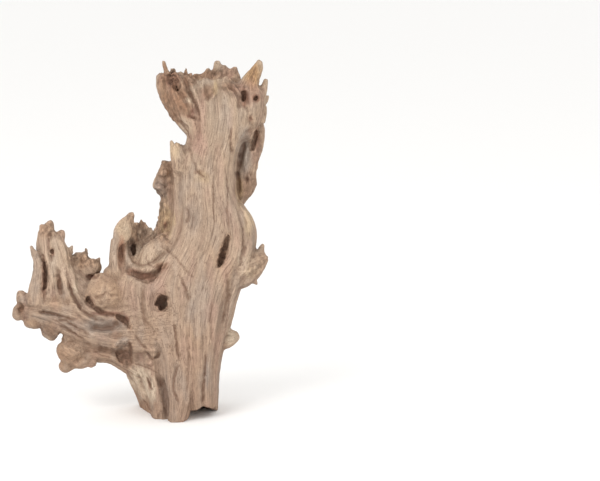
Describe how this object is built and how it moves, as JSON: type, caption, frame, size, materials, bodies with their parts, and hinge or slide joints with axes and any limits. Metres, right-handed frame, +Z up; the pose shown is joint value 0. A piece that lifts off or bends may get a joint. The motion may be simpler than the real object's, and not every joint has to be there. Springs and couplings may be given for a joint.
{
  "type": "kayika wood",
  "caption": "Weathered driftwood stump that stands on its own flat foot, with a forked side branch, a burl, a hollow ear and a torn crown.",
  "frame": {"origin": "on the flat foot, under the trunk", "axes": "+Z up the trunk, from the foot to the torn crown; +X to the right of someone who looks at the side branch's front, away from that branch; +Y away from that viewer"},
  "size_m": [0.3848, 0.1502, 0.5379],
  "materials": {
    "wood": "dry, sun-bleached and matte, with grey and reddish grain"
  },
  "bodies": {
    "root": {"kayika_wood": "wood"}
  },
  "joints": []
}
